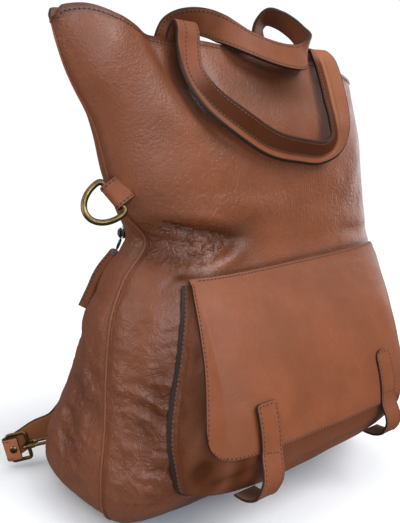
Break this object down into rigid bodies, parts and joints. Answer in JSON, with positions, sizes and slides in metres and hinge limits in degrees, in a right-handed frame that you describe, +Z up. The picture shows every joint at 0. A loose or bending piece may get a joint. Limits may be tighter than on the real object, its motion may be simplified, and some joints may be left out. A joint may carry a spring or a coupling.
{
  "type": "convertible backpack",
  "caption": "Soft leather backpack with an open top, a flapped bellows pocket, loop handles, brass side rings and shoulder straps hooked near the base.",
  "frame": {"origin": "middle of the flat base, on the surface that the bag stands on", "axes": "+X to the right seen from the pocket side, +Y towards the wearer's back, +Z up"},
  "size_m": [0.4216, 0.3167, 0.4825],
  "materials": {
    "leather": "grained, waxed, semi-gloss",
    "strap_leather": "smooth, waxed, dark edges",
    "brass": "antique",
    "dark_metal": "gunmetal",
    "zip_tape": "woven, with fine teeth"
  },
  "bodies": {
    "bag": {"front_panel": "leather", "back_panel": "leather", "pocket_body": "leather", "pocket_flap": "leather", "closure_strap_left": "strap_leather", "closure_strap_right": "strap_leather", "front_handle": "strap_leather", "back_handle": "strap_leather", "ring_tab_left": "strap_leather", "ring_tab_right": "strap_leather", "zip_tape": "zip_tape", "zip_slider": "dark_metal", "zip_link": "dark_metal", "zip_pull": "strap_leather", "shoulder_strap_left": "strap_leather", "strap_eye_left": "brass", "strap_rivet_left": "brass", "snap_hook_left": "brass", "base_tab_left": "strap_leather", "shoulder_strap_right": "strap_leather", "strap_eye_right": "brass", "strap_rivet_right": "brass", "snap_hook_right": "brass", "base_tab_right": "strap_leather"},
    "ring_left": {"side_ring_left": "brass"},
    "ring_right": {"side_ring_right": "brass"}
  },
  "joints": [
    {"name": "left_ring_swing", "type": "hinge", "parent": "bag", "child": "ring_left", "pos_m": [-0.157, -0.058, 0.3], "axis": [0.387, -0.535, -0.751], "range_deg": [-75, 75]},
    {"name": "right_ring_swing", "type": "hinge", "parent": "bag", "child": "ring_right", "pos_m": [0.1955, -0.041, 0.3], "axis": [0.1, 0.5001, 0.8602], "range_deg": [-75, 45]}
  ]
}
